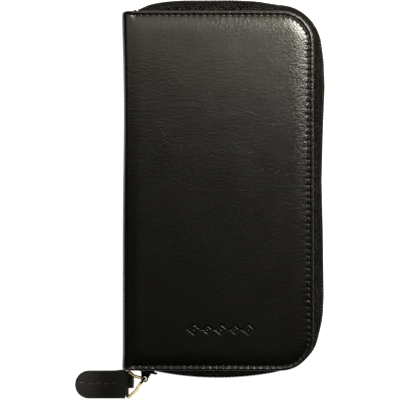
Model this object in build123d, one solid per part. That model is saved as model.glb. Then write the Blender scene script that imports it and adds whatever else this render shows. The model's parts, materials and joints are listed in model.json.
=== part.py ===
from build123d import *
import os
from math import cos, radians, sin

# Zip-around fountain pen case, closed, lying on its back cover.
# Millimetres. X runs from the spine (-X) to the zip side (+X), Y runs up the case, Z out of the front cover.
# The origin is the middle of the back cover's outer face, which is the face the case rests on.

# ---- driving dimensions --------------------------------------------------------------------------------
CASE_WIDTH = 93.0          # spine's outer face to the covers' zip-side edge
CASE_HEIGHT = 175.0
CASE_THICKNESS = 30.0
COVER_CORNER = 16.0        # covers' rounded corners on the zip side

LEATHER = 1.0              # cover leather
PADDING = 1.2              # foam under the cover leather
BOARD = 1.4                # stiffener board
LINING = 0.6               # suede lining, level with the sewn-in flange of the zip tape
WELT = 1.0                 # leather facing strip sewn over the edge of the lining

CREASE = 3.5               # radius of the leather where a cover turns into the spine
CREASE_GAP = 0.1
ZIP_BULGE_TOP = 5.5        # how far the closed zip stands out beyond the covers' edges
ZIP_BULGE_SIDE = 5.3
ZIP_BULGE_BOTTOM = 3.9
ZIP_TOP_RADIUS = 161.0     # the zip's run along the top edge is a long arc
ZIP_TOP_CENTRE_X = -2.0
ZIP_SIDE_RADIUS = 2800.0
ZIP_BOTTOM_RADIUS = 150.0  # the slider's run along the bottom edge is a long arc
ZIP_CORNER = 20.0
TAPE = 0.6
TAPE_FLANGE = 5.5          # tape sewn in between cover and lining
WELT_WIDTH = 5.5           # leather facing strip over the joint of tape and lining
WELT_INSET = 2.0           # from the inside of the turned edge
TAPE_FLAT = 4.65           # flat stretch of tape beside the coil, which the slider runs along
COIL_WIDTH = 2.25
COIL_THICKNESS = 2.2
COIL_GAP = 1.5             # between the two coils, where the slider's post passes
STOP_PLAY = 0.2            # a stop is this far from the tape's end and from the coil

SPINE_BOARD = 1.0
SPINE_MARGIN = 1.0         # board and lining stop this far short of the leather's ends
PANEL_GAP = 0.4            # between the welt and the panels inside it
POCKET = 0.8
POCKET_TOP_Y = 40.0
POCKET_SLANT_Y = (-12.0, 8.0)   # the small pocket's mouth slopes, higher at the zip side
DIVIDER = 1.0
DIVIDER_EDGE_X = 36.0
DIVIDER_Y = 76.0
DIVIDER_Z = 19.6
BINDING = 3.0              # width of the leather strip on the divider's free edge
BINDING_WRAP = 0.3         # its thickness round the edge

LOOP_COUNT = 4             # pens side by side
LOOP_PITCH = 18.5
LOOP_BORE = 14.5           # widest pen that a loop takes
LOOP_SIDE = 4.5            # straight side of a loop below its round top
LOOP_WALL = 1.0            # elastic webbing
LOOP_BAND = 20.0           # width of the webbing
LOOP_ROW_Y = 40.0          # both rows, above and below the middle

SLIDER_LENGTH = 11.0
SLIDER_WIDTH = 9.6
SLIDER_REST_ANGLE = 13.4   # slider's place on its arc, towards the spine
SLIDER_PLATE = 1.1
SLIDER_PLAY = 0.3
SLIDER_TAPER = 0.9         # the slider's faces are this much narrower, each side, at the closed end
SLIDER_ROUND = 1.6         # their corners
SLIDER_POST = 0.8          # post between the two coils
SLIDER_LIP = 1.0           # lip that holds the back coil in
CROWN_FOOT = 6.4
CROWN_TIP = 3.2
CROWN_EYE = 1.75
CROWN = 2.0                # its thickness

WIRE = 1.5                 # pull ring's wire
WIRE_PLAY = 0.3
RING_PIN = 2.3             # half the height of the ring's upright end
RING_SHOULDER = 2.8        # its reach over the crown before the outer arm goes down
RING_DIP = 0.3             # the shoulder's fall over that reach
RING_OUTER_BENDS = [1.0, 1.4, 1.0]   # bend radii: over the crown, shoulder, far corner
RING_INNER_BENDS = [1.4, 1.1]        # near corner, under the crown
PULL_PIN = 154.6           # distance of the ring's pin from the centre of the slider's arc
RING_BASE_X = -44.3        # straight side of the ring, inside the tab's fold
RING_BASE_Y = (-101.0, -87.9)
RING_BASE_Z = 2.3
TAB_WIDTH = 13.8
TAB_TIP_X = -70.1
TAB_TOP_Y = -88.1
TAB_PLY = 1.2
TAB_SHOULDER = 2.2         # the tab's full width ends this far from the ring's straight side
TAB_NECK_Y = (-97.6, -90.4)     # its narrow neck folds round the ring
TAB_ROLL = 2.2             # radius of that fold
TAB_RING_PLAY = 0.25       # between the fold and the wire inside it

# ---- places worked out from them -----------------------------------------------------------------------
SPINE_X = -CASE_WIDTH / 2
EDGE_X = CASE_WIDTH / 2
EDGE_Y = CASE_HEIGHT / 2
MID_Z = CASE_THICKNESS / 2
CREASE_X = SPINE_X + CREASE
OPEN_X = -41.5             # ends of the zip tapes beside the spine
COIL_X = OPEN_X + 2.0      # the coil starts here, after its end stop

PADDING_Z = LEATHER
BOARD_Z = PADDING_Z + PADDING
LINING_Z = BOARD_Z + BOARD
WELT_Z = LINING_Z + LINING
LOOP_Z = WELT_Z + WELT
COIL_TOP = MID_Z - COIL_GAP / 2
TAPE_FLAT_Z = COIL_TOP - TAPE_FLAT

SLIDE_CENTRE_Y = ZIP_BOTTOM_RADIUS - EDGE_Y - ZIP_BULGE_BOTTOM
PULL_X = -PULL_PIN * sin(radians(SLIDER_REST_ANGLE))
PULL_Y = SLIDE_CENTRE_Y - PULL_PIN * cos(radians(SLIDER_REST_ANGLE))

nodes = {}


def block(low, high):
    """Box between two corners."""
    size = [b - a for a, b in zip(low, high)]
    return Pos(*low) * Box(*size, align=(Align.MIN, Align.MIN, Align.MIN))


def slab(sketch, z, thickness):
    """Plate of a sketch's shape, standing on height z."""
    return Pos(0, 0, z) * extrude(sketch, amount=thickness)


def zip_side_corners(sketch):
    return sketch.vertices().sort_by(Axis.X)[-2:]


def cover_outline(inset, left=CREASE_X):
    """Cover's outline, drawn in from its three free edges."""
    width = EDGE_X - inset - left
    sketch = Pos(left, 0) * Rectangle(width, 2 * (EDGE_Y - inset), align=(Align.MIN, Align.CENTER))
    return fillet(zip_side_corners(sketch), COVER_CORNER - inset)


def window_outline(inset):
    """Space inside the welt, where the panels are sewn on."""
    return cover_outline(LEATHER + WELT_INSET + WELT_WIDTH + inset, OPEN_X + WELT_WIDTH + inset)


def zip_outline(inset, left=CREASE_X):
    """Outline of the closed zip seen from the front: three long arcs with rounded corners."""
    top_y = EDGE_Y + ZIP_BULGE_TOP - ZIP_TOP_RADIUS
    side_x = EDGE_X + ZIP_BULGE_SIDE - ZIP_SIDE_RADIUS
    sketch = Pos(left, 0) * Rectangle(CASE_WIDTH * 2, CASE_HEIGHT * 2, align=(Align.MIN, Align.CENTER))
    sketch = sketch & Pos(ZIP_TOP_CENTRE_X, top_y) * Circle(ZIP_TOP_RADIUS - inset)
    sketch = sketch & Pos(side_x, 0) * Circle(ZIP_SIDE_RADIUS - inset)
    sketch = sketch & Pos(0, SLIDE_CENTRE_Y) * Circle(ZIP_BOTTOM_RADIUS - inset)
    return fillet(zip_side_corners(sketch), ZIP_CORNER - inset)


def open_ended(shape, left):
    """Cut a ring open on the spine's side."""
    far = 3 * CASE_HEIGHT
    return shape & block((left, -far, -far), (far, far, far))


def front_of(shape):
    """The front half's twin of a piece of the back half."""
    return mirror(shape, about=Plane(origin=(0, 0, MID_Z), z_dir=(0, 0, 1)))


# ---- covers --------------------------------------------------------------------------------------------
def cover_leather():
    """Outer skin with its edge turned over the padding and the board."""
    skin = slab(cover_outline(0), 0, LINING_Z)
    inside = slab(cover_outline(LEATHER, CREASE_X - 1), LEATHER, LINING_Z)
    return skin - inside


def cover_padding():
    return slab(cover_outline(LEATHER), PADDING_Z, PADDING)


def cover_board():
    return slab(cover_outline(LEATHER), BOARD_Z, BOARD)


def cover_lining():
    return slab(cover_outline(LEATHER + TAPE_FLANGE), LINING_Z, LINING)


def cover_welt():
    """Frame that covers the joint between zip tape and lining."""
    outer = cover_outline(LEATHER + WELT_INSET, OPEN_X + 0.5)
    return slab(outer - window_outline(0), WELT_Z, WELT)


# ---- zip -----------------------------------------------------------------------------------------------
def zip_tape():
    """Sewn flange, slanted wall out to the zip's line, and the flat stretch beside the coil."""
    flange = slab(cover_outline(LEATHER) - cover_outline(LEATHER + TAPE_FLANGE), LINING_Z, LINING)
    walls = []
    for extra in (0, TAPE):
        foot = Pos(0, 0, WELT_Z) * cover_outline(LEATHER + extra)
        head = Pos(0, 0, TAPE_FLAT_Z) * zip_outline(COIL_THICKNESS + extra)
        walls.append(loft([foot, head], ruled=True))
    flat = zip_outline(COIL_THICKNESS) - zip_outline(COIL_THICKNESS + TAPE)
    tape = flange + (walls[0] - walls[1]) + slab(flat, TAPE_FLAT_Z, TAPE_FLAT)
    return open_ended(tape, OPEN_X)


def zip_coil():
    ring = zip_outline(0) - zip_outline(COIL_THICKNESS)
    return open_ended(slab(ring, COIL_TOP - COIL_WIDTH, COIL_WIDTH), COIL_X)


def zip_stops():
    """Metal crimp at each end of the coil, on the tape."""
    ring = slab(zip_outline(0) - zip_outline(COIL_THICKNESS), COIL_TOP - COIL_WIDTH, COIL_WIDTH)
    low = (OPEN_X + STOP_PLAY, -CASE_HEIGHT, 0)
    return ring & block(low, (COIL_X - STOP_PLAY, CASE_HEIGHT, CASE_THICKNESS))


for side, place in (("back", lambda shape: shape), ("front", front_of)):
    nodes[f"{side}_cover_leather"] = place(cover_leather())
    nodes[f"{side}_cover_padding"] = place(cover_padding())
    nodes[f"{side}_cover_board"] = place(cover_board())
    nodes[f"{side}_lining"] = place(cover_lining())
    nodes[f"{side}_welt"] = place(cover_welt())
    nodes[f"{side}_zip_tape"] = place(zip_tape())
    nodes[f"{side}_zip_coil"] = place(zip_coil())
    nodes[f"{side}_zip_stops"] = place(zip_stops())


# ---- spine ---------------------------------------------------------------------------------------------
spine_x = SPINE_X
spine_layers = (("leather", LEATHER, 0), ("board", SPINE_BOARD, SPINE_MARGIN),
                ("lining", LINING, SPINE_MARGIN))
for name, thickness, margin in spine_layers:
    foot_z = CREASE + CREASE_GAP + margin / 2
    low = (spine_x, margin - EDGE_Y, foot_z)
    high = (spine_x + thickness, EDGE_Y - margin, CASE_THICKNESS - foot_z)
    nodes[f"spine_{name}"] = block(low, high)
    spine_x += thickness


# ---- inside of the back half: panel with two rows of pen loops ------------------------------------------
nodes["pen_panel"] = slab(window_outline(PANEL_GAP), WELT_Z, WELT)
panel_box = nodes["pen_panel"].bounding_box()


def arch(radius, foot):
    """Section of one pen loop: straight sides under a round top."""
    side = Pos(0, LOOP_SIDE / 2 - foot / 2) * Rectangle(2 * radius, LOOP_SIDE + foot)
    return side + Pos(0, LOOP_SIDE) * Circle(radius)


def pen_loops(y):
    """One elastic band, sewn down between the pens."""
    middle = (panel_box.min.X + panel_box.max.X) / 2
    pens = [middle + (i - (LOOP_COUNT - 1) / 2) * LOOP_PITCH for i in range(LOOP_COUNT)]
    run = (LOOP_COUNT - 1) * LOOP_PITCH + LOOP_BORE + 2 * LOOP_WALL
    band = Pos(middle, LOOP_WALL / 2) * Rectangle(run, LOOP_WALL)
    for x in pens:
        band += Pos(x, 0) * arch(LOOP_BORE / 2 + LOOP_WALL, 0)
    for x in pens:
        band -= Pos(x, 0) * arch(LOOP_BORE / 2, 1)
    floor = Pos(middle, -LOOP_BORE) * Rectangle(2 * run, 2 * LOOP_BORE)
    across = Plane(origin=(0, y + LOOP_BAND / 2, LOOP_Z), x_dir=(1, 0, 0), z_dir=(0, -1, 0))
    return extrude(across * (band - floor), amount=LOOP_BAND)


nodes["pen_loops_upper"] = pen_loops(LOOP_ROW_Y)
nodes["pen_loops_lower"] = pen_loops(-LOOP_ROW_Y)


# ---- inside of the front half: two flat pockets ---------------------------------------------------------
pocket_z = CASE_THICKNESS - WELT_Z - POCKET
below_mouth = Rectangle(2 * CASE_WIDTH, CASE_HEIGHT, align=(Align.CENTER, Align.MAX))
large = window_outline(PANEL_GAP) & Pos(0, POCKET_TOP_Y) * below_mouth
nodes["front_pocket_large"] = slab(large, pocket_z, POCKET)
mouth = Polygon((-CASE_WIDTH, -CASE_HEIGHT), (CASE_WIDTH, -CASE_HEIGHT), (panel_box.max.X, POCKET_SLANT_Y[1]),
                (panel_box.min.X, POCKET_SLANT_Y[0]), align=None)
nodes["front_pocket_small"] = slab(large & mouth, pocket_z - POCKET, POCKET)


# ---- divider between the halves -------------------------------------------------------------------------
DIVIDER_X = (SPINE_X + LEATHER + SPINE_BOARD + LINING + 0.3, DIVIDER_EDGE_X)
DIVIDER_TOP_Z = DIVIDER_Z + DIVIDER
divider_low = (DIVIDER_X[0], -DIVIDER_Y, DIVIDER_Z)
nodes["divider_flap"] = block(divider_low, (DIVIDER_X[1], DIVIDER_Y, DIVIDER_TOP_Z))


def divider_binding():
    """Leather strip folded over the divider's free edge."""
    low = (DIVIDER_X[1] - BINDING, -DIVIDER_Y, DIVIDER_Z - BINDING_WRAP)
    high = (DIVIDER_X[1] + BINDING_WRAP, DIVIDER_Y, DIVIDER_Z + DIVIDER + BINDING_WRAP)
    return block(low, high) - nodes["divider_flap"]


nodes["divider_binding"] = divider_binding()


# ---- slider, drawn at the foot of its arc and then turned to its place ----------------------------------
def on_arc(shape):
    """Turn a piece drawn below the arc's centre to the slider's resting place."""
    centre = Axis((0, SLIDE_CENTRE_Y, 0), (0, 0, 1))
    return shape.rotate(centre, -SLIDER_REST_ANGLE)


def arc_y(radius):
    return SLIDE_CENTRE_Y - radius


def slider_plate(outer_radius):
    """One of the two faces of the slider, wider at the end where the coils part."""
    half = SLIDER_LENGTH / 2
    wide = SLIDER_WIDTH / 2
    narrow = wide - SLIDER_TAPER
    outline = Polygon((-half, -wide), (half, -narrow), (half, narrow), (-half, wide), align=None)
    outline = fillet(outline.vertices(), SLIDER_ROUND)
    face = Plane(origin=(0, arc_y(outer_radius), MID_Z), x_dir=(1, 0, 0), z_dir=(0, 1, 0)) * outline
    return extrude(face, amount=SLIDER_PLATE)


def slider_body():
    """Two faces joined by a post between the coils, with a lip beside the back half's tape."""
    coil_face = ZIP_BOTTOM_RADIUS + SLIDER_PLAY
    tape_face = ZIP_BOTTOM_RADIUS - COIL_THICKNESS - TAPE - SLIDER_PLAY
    root = 0.5                 # post and lip run this far into the faces
    body = slider_plate(coil_face + SLIDER_PLATE) + slider_plate(tape_face)
    post_x = 0.9 - SLIDER_LENGTH / 2
    post_z = MID_Z - SLIDER_POST / 2
    body += block((post_x, arc_y(coil_face + root), post_z),
                  (post_x + 2.6, arc_y(tape_face - root), post_z + SLIDER_POST))
    lip_x = SLIDER_LENGTH / 2 - SLIDER_ROUND
    lip_z = MID_Z - SLIDER_WIDTH / 2 + root
    lip_y = arc_y(ZIP_BOTTOM_RADIUS - COIL_THICKNESS + SLIDER_PLAY)
    body += block((-lip_x, arc_y(coil_face + root), lip_z), (lip_x, lip_y, lip_z + SLIDER_LIP))
    return on_arc(body)


def slider_crown():
    """Loop on the slider's outer face that holds the pull ring."""
    foot_y = arc_y(ZIP_BOTTOM_RADIUS + SLIDER_PLAY + SLIDER_PLATE)
    tip_y = arc_y(PULL_PIN)
    outline = Polygon((-CROWN_TIP / 2, tip_y), (CROWN_TIP / 2, tip_y), (CROWN_FOOT / 2, foot_y),
                      (-CROWN_FOOT / 2, foot_y), align=None)
    outline += Pos(0, tip_y) * Circle(CROWN_EYE)
    outline -= Pos(0, tip_y) * Circle(WIRE / 2 + WIRE_PLAY)
    return on_arc(slab(outline, MID_Z - CROWN / 2, CROWN))


nodes["slider_body"] = slider_body()
nodes["slider_crown"] = slider_crown()


# ---- pull ring ------------------------------------------------------------------------------------------
def pull_ring():
    """Bent wire: a short upright pin through the crown, two arms down to the straight side in the tab."""
    head = Vector(PULL_X, PULL_Y, MID_Z + RING_PIN)
    foot = Vector(PULL_X, PULL_Y, MID_Z - RING_PIN)
    far = Vector(RING_BASE_X, RING_BASE_Y[0], RING_BASE_Z)
    near = Vector(RING_BASE_X, RING_BASE_Y[1], RING_BASE_Z)
    outwards = Vector(far.X - head.X, far.Y - head.Y, 0).normalized()
    shoulder = head + outwards * RING_SHOULDER - Vector(0, 0, RING_DIP)
    pin_middle = (head + foot) * 0.5
    side_middle = (far + near) * 0.5
    outer = FilletPolyline(pin_middle, head, shoulder, far, side_middle, radius=RING_OUTER_BENDS)
    inner = FilletPolyline(side_middle, near, foot, pin_middle, radius=RING_INNER_BENDS)
    wire = Circle(WIRE / 2)
    ring = sweep(Plane(origin=pin_middle, z_dir=(0, 0, 1)) * wire, path=outer)
    return ring + sweep(Plane(origin=side_middle, z_dir=(0, 1, 0)) * wire, path=inner)


nodes["pull_ring"] = pull_ring()


# ---- pull tab -------------------------------------------------------------------------------------------
def pull_tab():
    """Leather strip folded round the ring's straight side, with both plies sewn flat together."""
    radius = TAB_WIDTH / 2
    middle_y = TAB_TOP_Y - radius
    shoulder_x = RING_BASE_X - TAB_SHOULDER
    tip = Pos(TAB_TIP_X + radius, middle_y) * Circle(radius)
    length = shoulder_x - TAB_TIP_X - radius
    body = Pos(shoulder_x, middle_y) * Rectangle(length, TAB_WIDTH, align=(Align.MAX, Align.CENTER))
    neck_width = TAB_NECK_Y[1] - TAB_NECK_Y[0]
    neck = Rectangle(TAB_SHOULDER + radius, neck_width, align=(Align.MAX, Align.MIN))
    plies = slab(tip + body + Pos(RING_BASE_X, TAB_NECK_Y[0]) * neck, 0, 2 * TAB_PLY)
    hole_radius = WIRE / 2 + TAB_RING_PLAY
    axis = Plane(origin=(RING_BASE_X, TAB_NECK_Y[1], RING_BASE_Z), z_dir=(0, -1, 0))
    roll = extrude(axis * Circle(TAB_ROLL), amount=neck_width)
    hole = extrude(axis * Circle(hole_radius), amount=neck_width)
    return plies + roll - hole


nodes["pull_tab"] = pull_tab()


os.makedirs("parts", exist_ok=True)
for name, shape in nodes.items():
    export_step(shape, f"parts/{name}.step")
    print(name, len(shape.solids()))
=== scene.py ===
import json
import math
import random

import bmesh
import bpy
import numpy as np
from mathutils import Matrix, Vector, noise


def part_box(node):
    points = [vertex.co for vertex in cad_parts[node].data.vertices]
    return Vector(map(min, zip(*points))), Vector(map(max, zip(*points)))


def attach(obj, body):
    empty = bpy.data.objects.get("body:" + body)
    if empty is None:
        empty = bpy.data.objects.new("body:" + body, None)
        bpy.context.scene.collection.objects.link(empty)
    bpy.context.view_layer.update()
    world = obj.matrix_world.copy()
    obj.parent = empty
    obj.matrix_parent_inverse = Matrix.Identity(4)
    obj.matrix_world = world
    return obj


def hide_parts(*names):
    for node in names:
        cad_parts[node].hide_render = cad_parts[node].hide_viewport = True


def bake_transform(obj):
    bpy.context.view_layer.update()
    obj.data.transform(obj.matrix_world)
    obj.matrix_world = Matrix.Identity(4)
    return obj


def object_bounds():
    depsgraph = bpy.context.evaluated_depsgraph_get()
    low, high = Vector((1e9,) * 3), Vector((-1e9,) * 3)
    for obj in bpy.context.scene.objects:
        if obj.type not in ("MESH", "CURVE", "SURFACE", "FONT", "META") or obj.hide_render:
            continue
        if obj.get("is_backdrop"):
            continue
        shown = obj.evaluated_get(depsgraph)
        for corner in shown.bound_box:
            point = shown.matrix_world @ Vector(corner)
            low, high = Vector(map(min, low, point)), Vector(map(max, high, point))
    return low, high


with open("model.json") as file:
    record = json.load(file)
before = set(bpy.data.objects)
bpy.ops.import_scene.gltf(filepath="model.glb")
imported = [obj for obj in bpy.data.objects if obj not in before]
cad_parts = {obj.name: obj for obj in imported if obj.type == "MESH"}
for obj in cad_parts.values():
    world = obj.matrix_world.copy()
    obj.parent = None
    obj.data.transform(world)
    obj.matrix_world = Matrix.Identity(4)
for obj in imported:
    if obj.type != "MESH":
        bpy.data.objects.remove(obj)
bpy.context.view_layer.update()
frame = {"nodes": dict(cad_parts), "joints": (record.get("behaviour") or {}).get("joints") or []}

random.seed(7)
MM = 0.001
UP = (0, 0, 1)

# ---- sizes, in millimetres, read from the frame -------------------------------------------------------


def box_mm(node):
    low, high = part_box(node)
    return Vector(low) / MM, Vector(high) / MM


cover_low, cover_high = box_mm("front_cover_leather")
THICK = cover_high.z                    # whole thickness of the closed case
MID = THICK / 2
EDGE_X, EDGE_Y = cover_high.x, cover_high.y
SPINE_X, CREASE_X = box_mm("spine_leather")[0].x, cover_low.x
CREASE = CREASE_X - SPINE_X             # radius of the leather at the spine
CORNER = 16.0                           # corners on the zip side
OPEN_X = box_mm("back_zip_tape")[0].x
COIL_X = box_mm("back_zip_coil")[0].x
JOINTS = {j["name"]: j for j in frame["joints"]}
slide_pos = Vector(JOINTS["zip_travel"]["pos_m"]) / MM
slider_pivot = Vector(JOINTS["ring_swing"]["pos_m"]) / MM
tab_pivot = Vector(JOINTS["tab_fold"]["pos_m"]) / MM
BOTTOM_BULGE = 3.9
SLIDE_R = EDGE_Y + BOTTOM_BULGE + slide_pos.y    # the slider's arc along the bottom edge

STITCH = 3.1                            # one stitch of the covers' seam
SEAM_INSET = 2.0                        # seam to cover edge
TOOTH = 1.37                            # pitch of the zip's coil


# ---- materials ----------------------------------------------------------------------------------------
class Nodes:
    """Short way to add and join shader nodes."""

    def __init__(self, name):
        self.material = bpy.data.materials.new(name)
        self.material.use_nodes = True
        self.tree = self.material.node_tree
        self.shader = self.tree.nodes["Principled BSDF"]

    def add(self, kind, inputs=None, **settings):
        node = self.tree.nodes.new(kind)
        for key, value in settings.items():
            setattr(node, key, value)
        for key, value in (inputs or {}).items():
            if isinstance(value, bpy.types.NodeSocket):
                self.tree.links.new(value, node.inputs[key])
            else:
                node.inputs[key].default_value = value
        return node

    def set(self, **values):
        for key, value in values.items():
            socket = self.shader.inputs[key.replace("_", " ")]
            if isinstance(value, bpy.types.NodeSocket):
                self.tree.links.new(value, socket)
            else:
                socket.default_value = value

    def coords(self):
        return self.add("ShaderNodeTexCoord").outputs["Object"]

    def noise(self, scale, detail, rough):
        node = self.add("ShaderNodeTexNoise", {"Vector": self.coords(), "Scale": scale, "Detail": detail,
                                               "Roughness": rough})
        return node.outputs["Fac"]

    def cells(self, scale):
        node = self.add("ShaderNodeTexVoronoi", {"Vector": self.coords(), "Scale": scale}, feature="F1")
        return node.outputs["Distance"]

    def ramp(self, value, stops):
        node = self.add("ShaderNodeValToRGB", {"Fac": value})
        while len(node.color_ramp.elements) < len(stops):
            node.color_ramp.elements.new(0.5)
        for element, (place, colour) in zip(node.color_ramp.elements, stops):
            element.position = place
            element.color = (*colour, 1.0)
        return node.outputs["Color"]

    def math(self, operation, a, b):
        return self.add("ShaderNodeMath", {0: a, 1: b}, operation=operation).outputs[0]

    def span(self, value, low, high):
        node = self.add("ShaderNodeMapRange", {"Value": value, "To Min": low, "To Max": high})
        return node.outputs["Result"]

    def bump(self, height, strength, distance_mm, below=None):
        inputs = {"Height": height, "Strength": strength, "Distance": distance_mm * MM}
        if below is not None:
            inputs["Normal"] = below
        return self.add("ShaderNodeBump", inputs).outputs["Normal"]


def grey(value, warm=0.0):
    """Grey that leans to brown by warm."""
    return (value * (1 + warm), value, value * (1 - 1.6 * warm))


MATERIALS = {}
CLOUDS, POLISH = 22, 60                 # noise scales, per metre: drifts of colour and of gloss
WRINKLES, PEBBLES, PORES = 900, 1150, 1300
NAP, BLOTCHES, FLOATS_AND_GLINTS = 1400, 45, 950


def leather(name, dark, light, rough, grain=1.0, coat=0.0, spec=0.5):
    """Smooth black leather: fine pebbled grain, pores, cloudy colour and slightly uneven polish."""
    m = Nodes(name)
    wrinkled = m.bump(m.noise(WRINKLES, 4, 0.62), 0.19 * grain, 0.16)
    pebbled = m.bump(m.cells(PEBBLES), 0.62 * grain, 0.13, wrinkled)
    pored = m.bump(m.noise(PORES, 3, 0.6), 0.55, 0.12, pebbled)
    m.set(Base_Color=m.ramp(m.noise(CLOUDS, 5, 0.55), [(0.3, dark), (0.7, light)]), Normal=pored)
    m.set(Roughness=m.span(m.noise(POLISH, 4, 0.6), rough - 0.05, rough + 0.06), Specular_IOR_Level=spec)
    m.set(Coat_Weight=coat, Coat_Roughness=0.16, Coat_Normal=wrinkled)
    MATERIALS[name] = m.material


def suede(name, dark, light):
    """Brushed suede cloth: short nap, blotchy, with a soft sheen."""
    m = Nodes(name)
    nap = m.noise(NAP, 3, 0.7)
    mixed = m.math("MULTIPLY", m.math("ADD", m.noise(BLOTCHES, 4, 0.6), nap), 0.5)
    m.set(Base_Color=m.ramp(mixed, [(0.35, dark), (0.65, light)]), Normal=m.bump(nap, 0.5, 0.12))
    m.set(Roughness=0.95, Sheen_Weight=0.18, Sheen_Roughness=0.4, Specular_IOR_Level=0.1)
    MATERIALS[name] = m.material


def weave(name, dark, light, warp, weft, fibres=(1800, 0.45), stops=(0.35, 0.95), strength=0.6,
          depth=0.15, sheen=0.2, spec=0.12, floats_and_glints=0.0, laid=False):
    """Woven cloth: two sets of threads, each (axes that its phase runs along, scale), with loose fibres
    (scale, weight) and floats_and_glints, spots lifted by that height whose lighter colour is a painted
    highlight.

    laid says that the mesh holds each point's place on the flat cloth, which the threads then follow."""
    m = Nodes(name)
    cloth = m.add("ShaderNodeAttribute", attribute_name="laid").outputs["Vector"] if laid else m.coords()
    threads = []
    for axes, scale in (warp, weft):
        where = m.add("ShaderNodeVectorMath", {0: cloth, 1: axes}, operation="MULTIPLY").outputs[0]
        wave = m.add("ShaderNodeTexWave", {"Vector": where, "Scale": scale, "Distortion": 2.2,
                                           "Detail": 2.0, "Detail Scale": 2.5},
                     wave_type="BANDS", bands_direction="DIAGONAL")
        threads.append(wave.outputs["Fac"])
    loose = m.math("MULTIPLY", m.noise(fibres[0], 3, 0.7), fibres[1])
    height = m.math("ADD", m.math("MULTIPLY", *threads), loose)
    # painted highlight: these spots lift the height that also sets the colour, so they come out lighter,
    # standing in for glints on the thread floats
    glint_spots = m.math("LESS_THAN", m.cells(FLOATS_AND_GLINTS), 0.34)
    height = m.math("ADD", height, m.math("MULTIPLY", glint_spots, floats_and_glints))
    m.set(Base_Color=m.ramp(height, [(stops[0], dark), (stops[1], light)]), Roughness=0.8)
    m.set(Normal=m.bump(height, strength, depth), Specular_IOR_Level=spec)
    m.set(Sheen_Weight=sheen, Sheen_Roughness=0.5)
    MATERIALS[name] = m.material


def plain(name, dark, light, rough, metal=0.0, scratches=0.15, scale=250, spec=0.5):
    """Metal, nylon or thread: a little uneven colour and fine scratches."""
    m = Nodes(name)
    uneven = m.noise(scale, 5, 0.6)
    m.set(Base_Color=m.ramp(uneven, [(0.3, dark), (0.7, light)]), Metallic=metal, Specular_IOR_Level=spec)
    m.set(Roughness=m.span(m.noise(scale * 3, 4, 0.6), rough - 0.06, rough + 0.08))
    m.set(Normal=m.bump(m.noise(scale * 4, 4, 0.6), scratches, 0.04))
    MATERIALS[name] = m.material


leather("cover_leather", grey(0.0016, 0.06), grey(0.0032, 0.08), 0.24, coat=0.25)
# darker and rougher than the cover's leather: partly the pressed leather's own burnished colour, partly
# painted shade in the ornament's hollows
leather("pressed_leather_and_painted_shade", grey(0.0008, 0.04), grey(0.0016, 0.06), 0.5, 0.6, spec=0.16)
# painted light: the tab's leather gets a far lighter colour than the cover's, standing in for the light
# that falls on the tab
leather("pull_leather", grey(0.030, 0.04), grey(0.040, 0.04), 0.42)
leather("inner_leather", grey(0.011, 0.05), grey(0.017, 0.06), 0.5, 1.4)
suede("suede", grey(0.018, 0.03), grey(0.04, 0.04))
# the zip tape's float spots get a lighter colour: a painted highlight of glinting threads
weave("zip_tape", grey(0.0015, 0.05), grey(0.029, 0.06), ((1, 1, 1), 340.0), ((-1, 1, -1), 340.0),
      fibres=(1100, 1.0), stops=(0.95, 1.25), strength=1.0, depth=0.3, sheen=0.0, spec=0.0,
      floats_and_glints=0.6, laid=True)
weave("elastic", grey(0.010, 0.02), grey(0.045, 0.03), ((0, 1, 0), 640.0), ((1, 0, 1), 900.0), depth=0.2)
plain("zip_coil", grey(0.005, 0.03), grey(0.012, 0.04), 0.45, scratches=0.1, spec=0.25)
plain("thread", grey(0.005, 0.04), grey(0.014, 0.04), 0.6, scratches=0.5, scale=900)
plain("grey_thread", grey(0.06, 0.04), grey(0.12, 0.04), 0.5, scratches=0.5, scale=900)
plain("gunmetal", grey(0.02, 0.06), grey(0.045, 0.08), 0.34, metal=1.0, scratches=0.12)
plain("brass", (0.40, 0.28, 0.11), (0.66, 0.54, 0.30), 0.20, metal=1.0, scratches=0.08)
plain("board", grey(0.30, 0.08), grey(0.38, 0.08), 0.8)
plain("foam", grey(0.55, 0.01), grey(0.62, 0.01), 0.9)


# ---- mesh helpers -------------------------------------------------------------------------------------
def mirrored(points):
    """Points of the back half's twin in the front half, or the other way."""
    return [(x, y, THICK - z) for x, y, z in points]


def face_outwards(bm):
    """Turn the faces over when they all look into the piece."""
    if bm.calc_volume(signed=True) < 0:
        bmesh.ops.reverse_faces(bm, faces=bm.faces)


def new_object(name, mesh, material, flat_above=None):
    """Smooth-shaded object of a mesh, with its material; edges sharper than flat_above stay sharp."""
    bm = bmesh.new()
    bm.from_mesh(mesh)
    face_outwards(bm)
    bm.to_mesh(mesh)
    bm.free()
    mesh.materials.append(MATERIALS[material])
    mesh.shade_smooth()
    if flat_above is not None:
        mesh.set_sharp_from_angle(angle=math.radians(flat_above))
    obj = bpy.data.objects.new(name, mesh)
    bpy.context.scene.collection.objects.link(obj)
    return obj


def piece(name, points, faces, material, turned=False):
    """Object from points in millimetres; turned makes its twin in the other half of the case."""
    if turned:
        points, faces = mirrored(points), [f[::-1] for f in faces]
    mesh = bpy.data.meshes.new(name)
    places = [tuple(c * MM for c in p) for p in points]
    mesh.from_pydata(places, [], [tuple(int(i) for i in f) for f in faces])
    mesh.update()
    return new_object(name, mesh, material)


def grid_faces(rows, columns, start=0, flip=False, wrap=False):
    """Quads of a grid of points stored row by row; wrap joins the last row to the first."""
    faces = []
    for r in range(rows if wrap else rows - 1):
        for c in range(columns - 1):
            a = start + r * columns + c
            b = start + ((r + 1) % rows) * columns + c
            quad = (a, a + 1, b + 1, b)
            faces.append(quad[::-1] if flip else quad)
    return faces


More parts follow.
